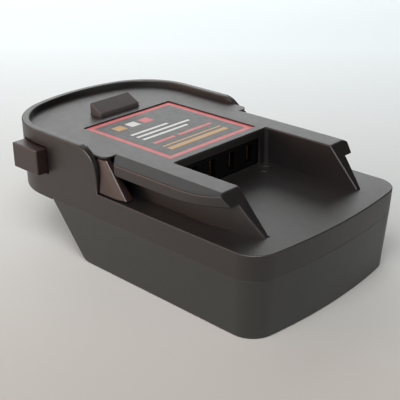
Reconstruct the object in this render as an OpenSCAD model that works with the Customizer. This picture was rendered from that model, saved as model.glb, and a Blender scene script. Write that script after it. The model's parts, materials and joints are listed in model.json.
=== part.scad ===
// Slide-on battery adapter for a cordless tool.
// Origin: centre of the footprint, on the surface that the adapter stands on.
// X runs across the adapter, +Y points to the rounded tail, +Z is up.

/* [Body] */
// Width of the body over the deck and the tail
body_w = 76; // [74:0.5:90]
// Length from the front of the deck to the rear wall of the pocket
front_l = 51.1; // [49:0.1:60]
// Length from the rear wall of the pocket to the end of the tail
plate_l = 82.5; // [80:0.1:95]
// Height of the seam between the two shells
parting_h = 21; // [19:0.1:26]
// Height of the upper shell's band, from the seam to the deck
band_h = 8.8; // [8:0.1:14]
// Wall of both shells
wall = 2.4; // [1.8:0.1:2.8]
// Thickness of the deck and of the plate
plate_t = 2.2; // [1.8:0.1:2.8]
// Radius of the front corners
corner_r = 9; // [6:0.5:14]
// Radius of the bowed front
front_r = 205; // [150:5:400]
// How far each side leans in from the seam to the bottom
side_draft = 1.2; // [0.2:0.1:2]
// How far the front leans in from the deck to the bottom
front_draft = 2.1; // [0.5:0.1:3]

/* [Tail] */
// Radius of the tail's rear edge
tail_r = 70; // [60:1:120]
// Radius of the tail's two corners
tail_corner_r = 26; // [18:1:30]
// Height of the rim over the plate
rim_h = 2.3; // [1:0.1:4]
// Width of the rim's top
rim_w = 2.7; // [1.5:0.1:4]
// How far the tail's wall reaches below the seam
tail_drop = 0.8; // [0.4:0.1:1.6]
// Distance from the pocket to the front edge of the tail's side walls
side_front = 22.6; // [21:0.1:26]
// Radius of the rounded front of the side walls
side_round = 10.4; // [8:0.2:10.8]

/* [Fork] */
// Height of the plate over the deck
fork_h = 13.2; // [12.4:0.1:16]
// Width of the pocket between the prongs
pocket_w = 46.6; // [44:0.1:48]
// Radius of the pocket's rear corners
pocket_r = 1.5; // [0.5:0.1:3]
// Chamfer along the pocket's upper edges
pocket_chamfer = 0.3; // [0.3:0.1:1.4]
// Width of the deck beside a prong's root
side_room = 8.4; // [7.8:0.1:9.4]
// Thickness of a prong at its foot
prong_tip_t = 2; // [1.8:0.1:4]
// Distance from the front of the deck to the prongs' feet
prong_setback = 10.6; // [8:0.1:14]
// How far the prongs' ends slope back from foot to top
prong_slope = 12.2; // [6:0.1:16]
// Width of the flat top outside a prong's root
rail_top = 1.2; // [0.6:0.1:2]
// How far the rail's lip stands out from the prong
lip_w = 5.6; // [4.6:0.1:6.4]
// Fall of the lip's upper face
lip_fall = 1.7; // [0.4:0.1:2.2]
// Depth of the lip's lower edge under the plate
lip_h = 5.7; // [4:0.1:6.5]
// Depth of the lip's lower edge at the front end
lip_front_h = 4.1; // [3:0.1:5]
// Length of the lip's lead-in
lead_l = 18.6; // [12:0.1:24]
// Radius of the lip's lead-in, seen from above
lead_r = 38; // [36:1:80]

/* [Skirt] */
// Length of the skirt at the seam
skirt_l = 99.8; // [96:0.1:104]
// How far the skirt's rear edge slopes forward at the bottom
skirt_slope = 15.3; // [8:0.1:20]
// Radius of the skirt's lower rear corner
skirt_r = 4; // [1:0.5:8]
// Thickness of the socket's roof
roof_t = 2.4; // [2:0.1:3]
// Gap between the socket's inner rails
neck_w = 54; // [50:0.5:58]
// Height of the inner rails over the bottom
inner_rail_z = 5; // [3:0.1:6]
// Thickness of the inner rails
inner_rail_t = 3.5; // [2.5:0.1:4.5]

/* [Latches] */
// Length of a button
button_l = 14.3; // [12:0.1:16]
// Height of a button
button_h = 9.4; // [7:0.1:10]
// How far a button stands out of the tail's wall
button_proud = 4.3; // [3.2:0.1:6]
// Distance from the end of the tail to a button
button_back = 18.5; // [17:0.1:22]
// Depth of a button's upper face under the plate
button_drop = 3.4; // [3:0.1:4]
// Travel of a latch
latch_travel = 3; // [2:0.1:3.6]
// Depth of a hook's foot behind the body's side
hook_depth = 0.6; // [0.4:0.1:1.2]
// How far a hook's outer face leans in from its foot to its top
hook_draft = 1.6; // [0.5:0.1:2]
// How far a hook reaches forward of the tail's side wall
hook_l = 13.3; // [9:0.1:14.5]
// Width of the lead-in chamfer at a hook's foot
hook_chamfer = 4.2; // [1:0.1:5]
// Thickness of the plate's ear over a hook
ear_cover_t = 0.8; // [0.5:0.1:1.4]
// Mean radius of a latch spring
spring_r = 3.1; // [2.8:0.1:3.6]
// Wire diameter of a latch spring
spring_wire = 0.8; // [0.5:0.05:1]
// Turns of a latch spring
spring_turns = 8; // [5:1:10]

/* [Label and pad] */
// Width of the label
label_w = 42.8; // [30:0.1:48]
// Length of the label
label_l = 44.7; // [30:0.1:46]
// Distance from the pocket to the label
label_gap = 3.75; // [2.5:0.05:6]
// Thickness of the label film
label_t = 0.3; // [0.1:0.05:0.4]
// Depth of the label's recess
label_recess = 0.6; // [0.42:0.01:0.7]
// Width of the stop pad
pad_w = 19.4; // [14:0.1:21]
// Length of the stop pad
pad_l = 6.3; // [5:0.1:8]
// Height of the pad's front edge over the plate
pad_front_h = 1.5; // [0.5:0.1:2.5]
// Height of the pad's rear edge over the plate
pad_rear_h = 4.5; // [3:0.1:6]
// Distance from the label to the pad
pad_gap = 4.25; // [2:0.05:6]

/* [Terminals] */
// Width of the tool terminal block
tool_block_w = 39; // [37:0.1:40]
// Length of the tool terminal block
tool_block_l = 11.5; // [10:0.1:13]
// Distance of the power contacts from the middle
power_x = 14.5; // [13:0.1:16]
// Distance of the signal contacts from the middle
signal_x = 5; // [4:0.1:6]
// Width of a contact slot
slot_w = 3.4; // [3:0.1:4]
// Width of the battery terminal block
battery_block_w = 47; // [46:0.1:48]
// Length of the battery terminal block
battery_block_l = 10; // [9:0.1:12]
// Height of the battery terminal block
battery_block_h = 12; // [11:0.1:13]
// Distance of the power blades from the middle
power_blade_x = 19; // [18.5:0.1:20]
// Distance of the signal blades from the middle
signal_blade_x = 6.5; // [5:0.1:7]
// Thickness of a blade
blade_t = 0.8; // [0.5:0.05:1]
// Height of a blade
blade_h = 6; // [4:0.1:7]
// Length of a blade in the socket
blade_l = 14; // [8:0.1:18]

/* [Electronics] */
// Width of the circuit board
board_w = 40; // [38:0.1:46]
// Length of the circuit board
board_l = 34; // [32:0.1:40]
// Thickness of the circuit board
board_t = 1.6; // [1:0.1:2]
// Height of the board's stand-offs
standoff_h = 3; // [2:0.1:3.4]
// Radius of a power lead
power_wire_r = 1.1; // [0.7:0.05:1.2]
// Radius of a signal lead
signal_wire_r = 0.7; // [0.4:0.05:0.9]

/* [Fasteners] */
// Radius of a shell screw's shank
screw_r = 1.25; // [1:0.05:1.4]
// Radius of a shell screw's head
screw_head_r = 2.6; // [2.2:0.1:2.8]
// Height of a shell screw's head
screw_head_h = 1.9; // [1.4:0.1:2]
// Radius of a terminal screw's shank
small_screw_r = 0.95; // [0.8:0.05:1.1]
// Radius of a terminal screw's head
small_head_r = 1.9; // [1.6:0.1:2]
// Height of a terminal screw's head
small_head_h = 1.4; // [1:0.1:1.6]
// Gap between pieces that are fixed together
fit_gap = 0.15; // [0.05:0.05:0.2]
// Gap between pieces that move past each other
run_gap = 0.3; // [0.2:0.05:0.4]

/* [Hidden] */
$fn = 48;

// Colours
black_plastic = [0.16, 0.155, 0.15];
dark_plastic = [0.1, 0.1, 0.1];
pad_rubber = [0.12, 0.12, 0.12];
label_red = [0.72, 0.3, 0.3];
brass = [0.8, 0.62, 0.28];
steel = [0.6, 0.6, 0.62];
board_green = [0.1, 0.36, 0.2];
chip_black = [0.07, 0.07, 0.08];
fuse_sand = [0.78, 0.72, 0.58];
wire_red = [0.7, 0.08, 0.07];
wire_black = [0.06, 0.06, 0.06];
wire_white = [0.86, 0.86, 0.83];
wire_yellow = [0.85, 0.7, 0.15];

// Overlap of cutting tools past the faces that they cut
over = 1;
// Depth that a rib, boss or pin is rooted in the wall that carries it
embed = 0.5;

// Levels
deck_z = parting_h + band_h;
plate_z = deck_z + fork_h;
rim_z = plate_z + rim_h;
deck_under = deck_z - plate_t;
plate_under = plate_z - plate_t;
roof_under = parting_h - roof_t;
tail_z = parting_h - tail_drop;
floor_inset = 0.4;
floor_z = tail_z + floor_inset;
floor_t = 2.2;
floor_top = floor_z + floor_t;

// Places along the length
half_w = body_w / 2;
overall_l = front_l + plate_l;
y_front = -overall_l / 2;
y_rear = overall_l / 2;
y_pocket = y_front + front_l;
y_foot = y_front + prong_setback;
y_skirt = y_front + skirt_l;
y_side = y_pocket + side_front;
prong_lean = prong_slope / fork_h;

// The side walls' rounded front, and where it meets the plate and the deck's end
round_drop = 8;
round_y = y_side + side_round;
round_z = plate_z - round_drop;
plate_lap = 0.3;
y_plate = round_y - sqrt(pow(side_round, 2) - pow(plate_z - round_z, 2)) + plate_lap;
y_deck_end = y_plate;

// Fork
pocket_x = pocket_w / 2;
fork_x = half_w - side_room;
prong_t = fork_x - pocket_x;
rail_x = fork_x + rail_top;
lip_x = fork_x + lip_w;
lip_root = pocket_x + over;
taper_l = 25;
y_taper = y_foot + taper_l;
lip_back = 20.8;
y_lip_rear = y_pocket + lip_back;
lip_rear_cut = 4.4;
y_lip_tip = y_foot + (fork_h - lip_front_h) * prong_lean - over;
y_lead = y_lip_tip + lead_l;
lip_low_end = 10.3;
y_lip_low = y_pocket - lip_low_end;
lip_rise_end = 31.3;
y_lip_front = y_pocket - lip_rise_end;
fork_lap = 3;
fork_rear = y_deck_end + fork_lap;
bulge_in = 2.1;
bulge_x = half_w - bulge_in;
bulge_back = 19.8;
bulge_y = y_pocket + bulge_back;
bulge_r = 2.5;

// Insets of the inner faces from the body's outline at the deck
band_lean = front_draft * band_h / deck_z;
bay_in = wall;
bay_front_in = wall + band_lean;
socket_in = wall + side_draft;
socket_front_in = wall + front_draft;
tongue_t = 1.1;
tongue_h = 1.6;
tongue_short = 6;
tongue_end = y_skirt - tongue_short;
floor_lap = 3;

// Latch
latch_x = half_w - wall - run_gap;
hook_x = half_w - hook_depth;
hook_clear = 0.4;
hook_in = fork_x + hook_clear + latch_travel;
button_z1 = plate_z - button_drop;
button_z0 = button_z1 - button_h;
button_y1 = y_rear - button_back;
button_y0 = button_y1 - button_l;
button_mid_y = (button_y0 + button_y1) / 2;
button_mid_z = (button_z0 + button_z1) / 2;
flange_lap = 1.6;
flange_t = 4.3;
flange_in = latch_x - flange_t;
flange_below = 1.2;
flange_z0 = button_z0 - flange_below;
flange_z1 = plate_under - run_gap;
arm_lift = 1.2;
arm_z0 = deck_z + arm_lift;
hook_z0 = deck_z + run_gap;
hook_z1 = plate_z - ear_cover_t - run_gap;
hook_rear = y_side - run_gap;
hook_front = y_side - hook_l;
hook_lead = 0.9;
hook_lead_taper = 0.55;
ledge_lap = 2;
spring_seat_x = 15;
spring_wall_t = 2.4;
spring_wall_margin = 1;
spring_wall_w = 2 * (spring_r + spring_wall_margin) + spring_wire;
spigot_gap = 0.4;
spigot_r = spring_r - spring_wire / 2 - spigot_gap;
spigot_l = 3.4;
spring_end_gap = 0.1;
spring_rings = 8;
spring_sides = 6;

// Label and pad
label_y = y_pocket + label_gap;
pad_y = label_y + label_l + pad_gap;
pad_seat = 0.8;
pad_plug_w = 12;
pad_plug_l = 3.2;
pad_plug_h = 3.2;

// Tool terminals
tool_block_y = y_pocket + fit_gap;
tool_block_lift = 0.5;
tool_block_z0 = deck_z + tool_block_lift;
tool_block_drop = 1.2;
tool_block_z1 = plate_under - tool_block_drop;
slot_wall = 1.2;
tool_slot_z0 = tool_block_z0 + slot_wall;
tool_slot_z1 = tool_block_z1 - slot_wall;
slot_floor = 2;
tool_slot_l = tool_block_l - slot_floor;
tool_slot_end = tool_block_y + tool_slot_l;
contact_t = 0.5;
contact_lift = 0.6;
contact_z0 = tool_slot_z0 + contact_lift;
contact_drop = 0.4;
contact_z1 = tool_slot_z1 - contact_drop;
contact_half = slot_w / 2 - fit_gap;
contact_l = 7.6;
contact_straight = 1.6;
pinch_at = 5.6;
pinch_half = 0.95;
mouth_half = 1.3;
contact_tail_t = 0.8;
contact_tail_lift = 0.5;
contact_tail_z0 = contact_z0 + contact_tail_lift;
contact_tail_h = 3;
contact_tail_l = 4.4;
contact_tail_end = tool_block_y + tool_block_l + contact_tail_l;
ear_reach = 3.4;
ear_x = tool_block_w / 2 + ear_reach;
ear_r = 3.2;
ear_web = 2.8;
ear_t = 2.6;
ear_y = tool_block_y + tool_block_l - ear_r;
ear_boss_r = 2.8;
ear_boss_h = 4.2;
ear_z1 = plate_under - ear_boss_h;
ear_z0 = ear_z1 - ear_t;
small_pilot = 0.05;

// Battery terminals
battery_block_setback = 6.8;
battery_block_y = y_front + battery_block_setback;
battery_block_end = battery_block_y + battery_block_l;
battery_block_z0 = roof_under - battery_block_h;
blade_lift = 2;
blade_z0 = battery_block_z0 + blade_lift;
blade_z1 = blade_z0 + blade_h;
blade_inset = 2;
blade_y0 = battery_block_y + blade_inset;
blade_tail_l = 3.5;
blade_tail_end = blade_y0 + blade_tail_l;
blade_tail_h = 3;
blade_top = parting_h + blade_tail_h;
blade_tip = battery_block_end + blade_l;
blade_slot_gap = 0.05;
tail_slot_w = 3;
tail_slot_gap = 0.6;
block_screw_x = (power_blade_x + signal_blade_x) / 2;
block_screw_y = battery_block_y + battery_block_l / 2;
block_seat_depth = 2.6;
block_screw_seat = battery_block_z0 + block_seat_depth;
block_boss_r = 2.6;
block_boss_h = 4;
block_screw_short = 1.5;

// Electronics
board_gap = 7.7;
board_y = y_pocket + board_gap;
board_z = parting_h + standoff_h;
board_top = board_z + board_t;
standoff_r = 2.4;
standoff_pin_r = 1.2;
standoff_inset = 3.5;
pin_head = 0.6;
pin_gap = 0.1;

// Parts on the board: places from its middle and its front edge, and sizes
transistor_place = [6, 22];
transistor_body = [6.6, 6.1, 2.3];
transistor_tab = [5.4, 1.6, 0.6];
chip_place = [-0.5, 6.5];
chip_size = [5, 6.2, 1.5];
capacitor_place = [-14, 22];
can_r = 3.1;
can_h = 8;
can_groove_z = 1.2;
can_groove_w = 0.7;
can_groove_depth = 0.35;
fuse_place = [14, 19];
fuse_size = [3, 7, 2.6];
fuse_cap = 1.4;
fuse_waist = 0.15;

// Leads
lead_power_x = 11;
lead_signal_x = 4.4;
lead_pad = 3;
lead_gap = 0.05;
lead_lift = 0.5;
lead_end_gap = 0.2;
lead_roof_gap = 0.6;
tool_lead_reach = 7.5;
power_foot_in = 1;
signal_foot_out = 0.6;

// Screws: place, height of the head's seat, height where the two bosses meet, tip and root
boss_r = 4.1;
screw_clear = 0.35;
pilot_gap = 0.05;
head_clear = 0.4;
tip_gap = 0.5;
pilot_extra = 0.8;
boss_gap = 0.4;
front_screw_back = 9.8;
front_screw = [battery_block_w / 2 + boss_gap + boss_r, y_front + front_screw_back];
front_seat = 12;
front_boss_z = 4;
mid_screw_x = 17.4;
mid_screw_gap = 4.6;
mid_screw = [mid_screw_x, y_pocket - mid_screw_gap];
mid_seat_h = 2.6;
mid_seat = roof_under + mid_seat_h;
mid_boss_h = 2.6;
mid_joint = parting_h + mid_boss_h;
tail_screw_x = 22;
tail_screw_back = 12.8;
tail_screw = [tail_screw_x, y_rear - tail_screw_back];
tail_seat_h = 2;
tail_seat = floor_z + tail_seat_h;
tail_boss_h = 1.8;
tail_joint = floor_top + tail_boss_h;
tail_grip = 10;
screw_tip = deck_under - tip_gap;
screw_sites = [
    for (side = [-1, 1]) each [
        [[side * front_screw.x, front_screw.y], front_seat, parting_h, screw_tip, deck_under],
        [[side * mid_screw.x, mid_screw.y], mid_seat, mid_joint, screw_tip, deck_under],
        [[side * tail_screw.x, tail_screw.y], tail_seat, tail_joint, tail_joint + tail_grip,
            plate_under]
    ]
];
site_base = [front_boss_z, roof_under, floor_z];
mark_r = 2.85;
mark_line = 0.5;
mark_depth = 0.25;

// Helpers

function unit(v) = v / norm(v);

// Short way round from one angle to another
function short_turn(turn) = turn > 180 ? turn - 360 : turn < -180 ? turn + 360 : turn;

// Points that round the corner b between the points a and c
function round_corner(a, b, c, r, steps = 8) =
    let (
        u = unit(a - b),
        v = unit(c - b),
        half = acos(u * v) / 2,
        centre = b + unit(u + v) * r / sin(half),
        from = b + u * r / tan(half) - centre,
        to = b + v * r / tan(half) - centre,
        start = atan2(from.y, from.x),
        turn = short_turn(atan2(to.y, to.x) - start)
    )
    [for (i = [0:steps]) centre + r * [cos(start + turn * i / steps),
        sin(start + turn * i / steps)]];

// Point on a smooth curve through the points of a list
function curve_point(p, i, t) =
    let (
        n = len(p) - 1,
        a = i == 0 ? 2 * p[0] - p[1] : p[i - 1],
        d = i + 2 > n ? 2 * p[n] - p[n - 1] : p[i + 2],
        b = p[i],
        c = p[i + 1]
    )
    (2 * b + (c - a) * t + (2 * a - 5 * b + 4 * c - d) * t * t
        + (3 * b - a - 3 * c + d) * t * t * t) / 2;

function smooth(p, steps) = concat(
    [for (i = [0:len(p) - 2]) for (k = [0:steps - 1]) curve_point(p, i, k / steps)],
    [p[len(p) - 1]]
);

// Direction of a route at one of its points
function heading(p, i) = unit(p[min(i + 1, len(p) - 1)] - p[max(i - 1, 0)]);

// Ring of a tube round a route's point; no route here runs along X
function ring(p, i, r, sides) =
    let (
        along = heading(p, i),
        side = unit(cross(along, [1, 0, 0])),
        up = cross(side, along)
    )
    [for (k = [0:sides - 1])
        p[i] + r * (cos(360 * k / sides) * side + sin(360 * k / sides) * up)];

// Tube along a route, closed at both ends
module tube(p, r, sides = 8) {
    n = len(p);
    points = [for (i = [0:n - 1]) each ring(p, i, r, sides)];
    walls = [for (i = [0:n - 2]) for (k = [0:sides - 1])
        let (a = i * sides + k, b = i * sides + (k + 1) % sides)
        each [[a, a + sides, b], [b, a + sides, b + sides]]];
    first = [for (k = [1:sides - 2]) [0, k, k + 1]];
    last = [for (k = [1:sides - 2])
        [(n - 1) * sides, (n - 1) * sides + k + 1, (n - 1) * sides + k]];
    polyhedron(points, concat(walls, first, last));
}

// Solid between a lower and an upper outline of as many points, both drawn clockwise from above
module loft(low, high) {
    n = len(low);
    walls = [for (i = [0:n - 1]) [i, n + i, n + (i + 1) % n, (i + 1) % n]];
    polyhedron(concat(low, high),
        concat([[for (i = [0:n - 1]) i]], [[for (i = [n - 1:-1:0]) n + i]], walls));
}

// Outline in Y and Z, drawn out along X
module along_x(x0, x1) {
    translate([x0, 0, 0]) rotate([90, 0, 90]) linear_extrude(x1 - x0) children();
}

// Outline in X and Z, drawn out along Y
module along_y(y0, y1) {
    translate([0, y1, 0]) rotate([90, 0, 0]) linear_extrude(y1 - y0) children();
}

// Outline in X and Y, drawn out along Z
module along_z(z0, z1) {
    translate([0, 0, z0]) linear_extrude(z1 - z0) children();
}

// Block between two corners
module block(low, high) {
    translate(low) cube(high - low);
}

module both_sides() {
    children();
    mirror([1, 0, 0]) children();
}

// Outline with one bowed end at +Y, whose corners run smoothly into bow and sides
module bowed_end(half, apex, bow_r, round_r, tail) {
    cx = half - round_r;
    bow_y = apex - bow_r;
    cy = bow_y + sqrt(pow(bow_r - round_r, 2) - pow(cx, 2));
    past = 1.5;
    reach = past * bow_r / (bow_r - round_r);
    translate([-half, tail]) square([2 * half, cy - tail]);
    intersection() {
        for (side = [-1, 1]) translate([side * cx, cy]) circle(round_r);
        translate([-half - over, tail]) square([2 * (half + over), apex + over - tail]);
    }
    intersection() {
        translate([0, bow_y]) circle(bow_r, $fn = 360);
        polygon([
            [cx, cy - over], [cx, cy],
            [reach * cx, bow_y + reach * (cy - bow_y)],
            [-reach * cx, bow_y + reach * (cy - bow_y)],
            [-cx, cy], [-cx, cy - over]
        ]);
    }
}

// Outline of the body, set in from its sides and its front
module body_plan(side_in = 0, front_in = 0, end = y_skirt) {
    mirror([0, 1]) bowed_end(half_w - side_in, -y_front - front_in, front_r - front_in,
        corner_r - side_in, -end);
}

// Outline of the tail, set in all round
module tail_plan(inset, start) {
    bowed_end(half_w - inset, y_rear - inset, tail_r - inset, tail_corner_r - inset, start);
}

// The body's outline drawn down from a level, with its sides and its front leaning in
module leaning_body(top, height, side_lean, front_lean, front_in = 0) {
    length = skirt_l - front_in;
    translate([0, y_skirt, top]) mirror([0, 0, 1])
        linear_extrude(height, slices = 1,
            scale = [1 - side_lean / half_w, 1 - front_lean / length])
            scale([1, length / skirt_l]) translate([0, -y_skirt]) body_plan();
}

// Countersunk cross in a screw head that faces down
module cross_recess(r, depth) {
    slot = [1.2 * r, 0.26 * r];
    for (turn = [0, 90]) rotate(turn)
        along_z(-over, depth) square(slot, center = true);
}

// Screw that points up, with the top of its head at z = 0
module screw(head_r, head_h, shank_r, shank_l) {
    translate([0, 0, -head_h]) difference() {
        cylinder(h = head_h, r = head_r);
        cross_recess(head_r, head_h / 2);
    }
    cylinder(h = shank_l, r = shank_r);
}

// Upper shell

// Half the width of the fork's outer wall, drawn in towards the feet
function prong_x(y) = fork_x - (prong_t - prong_tip_t)
    * pow(max(0, y_taper - y) / (y_taper - y_foot), 2);

module pocket_plan() {
    front = y_front - over;
    translate([-pocket_x, front]) square([pocket_w, y_pocket - pocket_r - front]);
    translate([pocket_r - pocket_x, front])
        square([pocket_w - 2 * pocket_r, y_pocket - front]);
    for (side = [-1, 1])
        translate([side * (pocket_x - pocket_r), y_pocket - pocket_r]) circle(pocket_r);
}

module fork_plan() {
    steps = 10;
    front = y_foot - fork_lap;
    side = [for (i = [0:steps])
        let (y = y_taper + (front - y_taper) * i / steps) [prong_x(y), y]];
    difference() {
        polygon(concat(
            [[fork_x, fork_rear]], side,
            [for (i = [steps:-1:0]) [-side[i].x, side[i].y]],
            [[-fork_x, fork_rear]]
        ));
        pocket_plan();
    }
}

// Sloping front edge of a hook, at a height
function hook_edge(z) = hook_front + (z - hook_z0) * prong_lean;

// Lip of the right rail: its section, its outline from above and its side view
module lip() {
    steps = 10;
    sweep = asin(lead_l / lead_r);
    low = plate_z - lip_h;
    low_front = plate_z - lip_front_h;
    intersection() {
        along_y(y_lip_tip, y_lip_rear) polygon([
            [lip_root, low], [lip_x, low], [lip_x, plate_z - lip_fall],
            [rail_x, plate_z], [lip_root, plate_z]
        ]);
        along_z(low - over, plate_z + over) polygon(concat(
            [[lip_root, y_lip_rear], [rail_x, y_lip_rear],
                [lip_x, y_lip_rear - lip_rear_cut]],
            [for (i = [0:steps]) [lip_x - lead_r * (1 - cos(sweep * i / steps)),
                y_lead - lead_r * sin(sweep * i / steps)]],
            [[lip_root, y_lip_tip]]
        ));
        along_x(0, lip_x + over) polygon([
            [hook_edge(low) - hook_clear, low], [y_lip_low, low], [y_lip_front, low_front],
            [y_foot - over, low_front], [y_foot - over, plate_z + over],
            [hook_edge(plate_z + over) - hook_clear, plate_z + over]
        ]);
    }
}

// Everything in front of the prongs' sloping ends
module prong_end_cut() {
    low = deck_z - plate_t;
    high = plate_z + over;
    front = y_front - over;
    along_x(-half_w, half_w) polygon([
        [front, low], [y_foot + (low - deck_z) * prong_lean, low],
        [y_foot + (high - deck_z) * prong_lean, high], [front, high]
    ]);
}

module fork() {
    difference() {
        union() {
            along_z(deck_under, plate_z) fork_plan();
            both_sides() lip();
        }
        prong_end_cut();
        pocket_chamfers();
    }
}

// Chamfers along the pocket's upper edges
module pocket_chamfers() {
    c = pocket_chamfer;
    both_sides() along_y(y_front, y_pocket) polygon([
        [pocket_x - c, plate_z + c], [pocket_x - c, plate_z - c],
        [pocket_x, plate_z - c], [pocket_x + 2 * c, plate_z + c]
    ]);
    along_x(-pocket_x, pocket_x) polygon([
        [y_pocket - c, plate_z - c], [y_pocket, plate_z - c],
        [y_pocket + 2 * c, plate_z + c], [y_pocket - c, plate_z + c]
    ]);
}

// Side view of the tail's side wall over the deck, with its rounded front
module side_profile() {
    translate([round_y, deck_z]) square([y_skirt - round_y + over, fork_h + rim_h]);
    translate([y_side, deck_z]) square([side_round + over, round_z - deck_z]);
    intersection() {
        translate([round_y, round_z]) circle(side_round);
        translate([y_side, deck_z]) square([side_round + over, fork_h + rim_h]);
    }
}

// Side wall, as wide as the rim where it stands over the plate
module side_wall() {
    along_x(half_w - wall, half_w) side_profile();
    along_x(half_w - rim_w, half_w) intersection() {
        side_profile();
        translate([y_side, plate_z - ear_cover_t])
            square([y_skirt - y_side + over, rim_h + ear_cover_t]);
    }
}

// Ear of the plate over a hook
module bulge_plan() {
    corner = round_corner([bulge_x, y_plate], [bulge_x, bulge_y], [0, bulge_y], bulge_r);
    polygon(concat([[0, bulge_y], [0, y_plate + over], [bulge_x, y_plate + over]], corner));
}

module upper_outside() {
    leaning_body(deck_z, band_h, 0, band_lean);
    along_z(tail_z, rim_z) tail_plan(0, y_skirt);
    both_sides() side_wall();
    along_z(plate_under, plate_z) tail_plan(wall / 2, y_plate);
    along_z(plate_z - ear_cover_t, plate_z) both_sides() bulge_plan();
    fork();
}

module upper_inside() {
    along_z(parting_h - over, deck_under) body_plan(bay_in, bay_front_in, y_deck_end + over);
    along_z(tail_z - over, plate_under) tail_plan(wall, y_deck_end);
    along_z(plate_z, rim_z + over) tail_plan(rim_w, y_plate - over);
    block([wall - fork_x, y_pocket + wall, deck_under - over],
        [fork_x - wall, y_deck_end + over, plate_under]);
}

// Walls of the fork that stand free in the tail
module fork_stubs() {
    both_sides() block([fork_x - wall, y_deck_end - over, deck_under],
        [fork_x, fork_rear, plate_under + plate_t / 2]);
}

module upper_bosses() {
    for (site = screw_sites)
        translate([site[0].x, site[0].y, site[2]])
            cylinder(h = site[4] + plate_t / 2 - site[2], r = boss_r);
    for (side = [-1, 1]) translate([side * ear_x, ear_y, ear_z1])
        cylinder(h = plate_under + plate_t / 2 - ear_z1, r = ear_boss_r);
}

module button_window() {
    block([half_w - tail_corner_r, button_y0 - run_gap, button_z0 - run_gap],
        [half_w + over, button_y1 + run_gap, button_z1 + run_gap]);
}

module upper_cuts() {
    block([-label_w / 2 - fit_gap, label_y - fit_gap, plate_z - label_recess],
        [label_w / 2 + fit_gap, label_y + label_l + fit_gap, plate_z + over]);
    block([-pad_w / 2 - fit_gap, pad_y - fit_gap, plate_z - pad_seat],
        [pad_w / 2 + fit_gap, pad_y + pad_l + fit_gap, plate_z + over]);
    pad_plug(fit_gap, over);
    block([-tool_block_w / 2 - fit_gap, y_pocket - over, tool_block_z0 - fit_gap],
        [tool_block_w / 2 + fit_gap, y_pocket + wall + over, tool_block_z1 + fit_gap]);
    for (site = screw_sites)
        translate([site[0].x, site[0].y, site[2] - over])
            cylinder(h = site[3] + pilot_extra + over - site[2], r = screw_r + pilot_gap);
    for (side = [-1, 1]) {
        translate([side * ear_x, ear_y, ear_z1 - over])
            cylinder(h = plate_under - ear_z1 + 2 * over, r = small_screw_r + small_pilot);
        translate([side * mid_screw.x, mid_screw.y, deck_z - mark_depth]) difference() {
            cylinder(h = over, r = mark_r);
            translate([0, 0, -over]) cylinder(h = 3 * over, r = mark_r - mark_line);
        }
    }
}

module upper_shell() {
    color(black_plastic) difference() {
        union() {
            difference() {
                upper_outside();
                upper_inside();
                both_sides() button_window();
            }
            fork_stubs();
            upper_bosses();
        }
        upper_cuts();
    }
}

// Lower shell

// Side view of the skirt, with its sloping rear edge
module skirt_profile() {
    front = y_front - over;
    foot = [y_skirt - skirt_slope, 0];
    top = [y_skirt, parting_h];
    polygon(concat(
        [[front, 0]], round_corner([front, 0], foot, top, skirt_r), [top, [front, parting_h]]
    ));
}

module skirt_outside() {
    intersection() {
        leaning_body(parting_h, parting_h, side_draft, front_draft - band_lean, band_lean);
        along_x(-half_w, half_w) skirt_profile();
    }
}

// Inner rails of the socket, rooted in the skirt's walls
module inner_rails() {
    top = inner_rail_z + inner_rail_t;
    lean = skirt_slope / parting_h;
    rear = y_skirt - skirt_slope - over;
    both_sides() along_x(neck_w / 2, half_w - socket_in + wall / 2) polygon([
        [battery_block_end, inner_rail_z], [rear + inner_rail_z * lean, inner_rail_z],
        [rear + top * lean, top], [battery_block_end, top]
    ]);
}

module tongue() {
    along_z(parting_h - embed, parting_h + tongue_h) difference() {
        body_plan(bay_in + fit_gap, bay_front_in + fit_gap, tongue_end);
        body_plan(bay_in + fit_gap + tongue_t, bay_front_in + fit_gap + tongue_t, y_skirt);
        for (side = [-1, 1]) translate([side * front_screw.x, front_screw.y])
            circle(boss_r + fit_gap);
    }
}

// Ledge that carries a latch, and the wall that its spring bears on
module latch_ledge() {
    block([flange_in - latch_travel, button_y0, floor_top - embed],
        [flange_in + ledge_lap, button_y1, flange_z0 - run_gap]);
    block([spring_seat_x - spring_wall_t, button_mid_y - spring_wall_w / 2, floor_top - embed],
        [spring_seat_x, button_mid_y + spring_wall_w / 2, button_mid_z + spring_wall_w / 2]);
    translate([spring_seat_x - embed, button_mid_y, button_mid_z]) rotate([0, 90, 0])
        cylinder(h = spigot_l + embed, r = spigot_r);
}

function board_corners() = [
    for (x = [-1, 1]) for (y = [standoff_inset, board_l - standoff_inset])
        [x * (board_w / 2 - standoff_inset), board_y + y]
];

module standoffs() {
    for (c = board_corners()) translate([c.x, c.y, parting_h - embed]) {
        cylinder(h = standoff_h + embed, r = standoff_r);
        cylinder(h = standoff_h + board_t + pin_head + embed, r = standoff_pin_r);
    }
}

module lower_bosses() {
    for (i = [0:len(screw_sites) - 1]) {
        site = screw_sites[i];
        base = site_base[i % len(site_base)];
        translate([site[0].x, site[0].y, base]) cylinder(h = site[2] - base, r = boss_r);
    }
    for (side = [-1, 1]) translate([side * block_screw_x, block_screw_y, parting_h - embed])
        cylinder(h = block_boss_h + embed, r = block_boss_r);
}

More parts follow.
